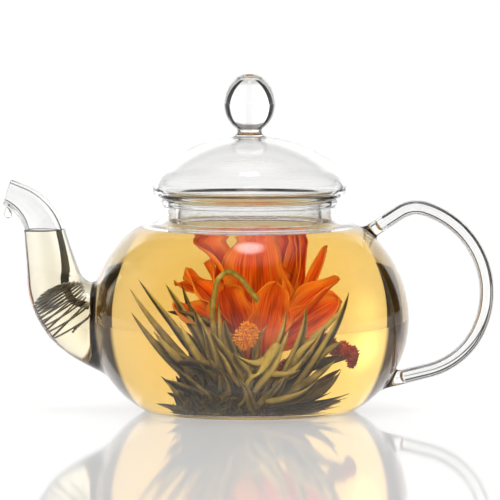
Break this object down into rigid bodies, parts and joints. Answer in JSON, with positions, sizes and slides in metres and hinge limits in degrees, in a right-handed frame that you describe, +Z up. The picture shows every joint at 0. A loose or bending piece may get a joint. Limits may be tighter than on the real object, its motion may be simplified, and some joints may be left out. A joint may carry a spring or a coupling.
{
  "type": "glass teapot",
  "caption": "Clear glass teapot with round bowl, curved spout, looped tube handle, domed lid with egg knob, wire coil strainer and an opened tea flower inside.",
  "frame": {"origin": "centre of the foot, on the surface that the pot stands on", "axes": "+Z up, -X towards the spout, +X towards the handle"},
  "size_m": [0.2147, 0.14, 0.1482],
  "materials": {
    "clear_glass": "clear polished borosilicate",
    "strainer_steel": "drawn stainless wire",
    "tea_leaf": "wet tea leaf",
    "petal": "wet petal",
    "stalk": "wet stalk",
    "cotton_thread": "cotton",
    "bead_flower": "wet flower head"
  },
  "bodies": {
    "pot": {"bowl_foot": "clear_glass", "bowl_belly": "clear_glass", "bowl_shoulder": "clear_glass", "bowl_neck": "clear_glass", "spout": "clear_glass", "handle": "clear_glass", "handle_upper_weld": "clear_glass", "handle_lower_weld": "clear_glass"},
    "lid": {"lid_dome": "clear_glass", "lid_collar": "clear_glass", "knob_stem": "clear_glass", "knob": "clear_glass"},
    "strainer": {"strainer_coil": "strainer_steel"},
    "bloom": {"bloom_base": "tea_leaf", "bloom_thread": "cotton_thread", "bloom_outer_leaves": "tea_leaf", "bloom_inner_leaves": "tea_leaf", "bloom_petals": "petal", "bloom_stalk": "stalk", "bloom_bead": "bead_flower"}
  },
  "joints": [
    {"name": "lid_lift", "type": "slide", "parent": "pot", "child": "lid", "axis": [0, 0, 1], "range_m": [0, 0.045]},
    {"name": "strainer_pull", "type": "slide", "parent": "pot", "child": "strainer", "axis": [0.8829, 0, -0.4695], "range_m": [0, 0.02]},
    {"name": "bloom_float", "type": "slide", "parent": "pot", "child": "bloom", "axis": [0, 0, 1], "range_m": [0, 0.005]}
  ]
}
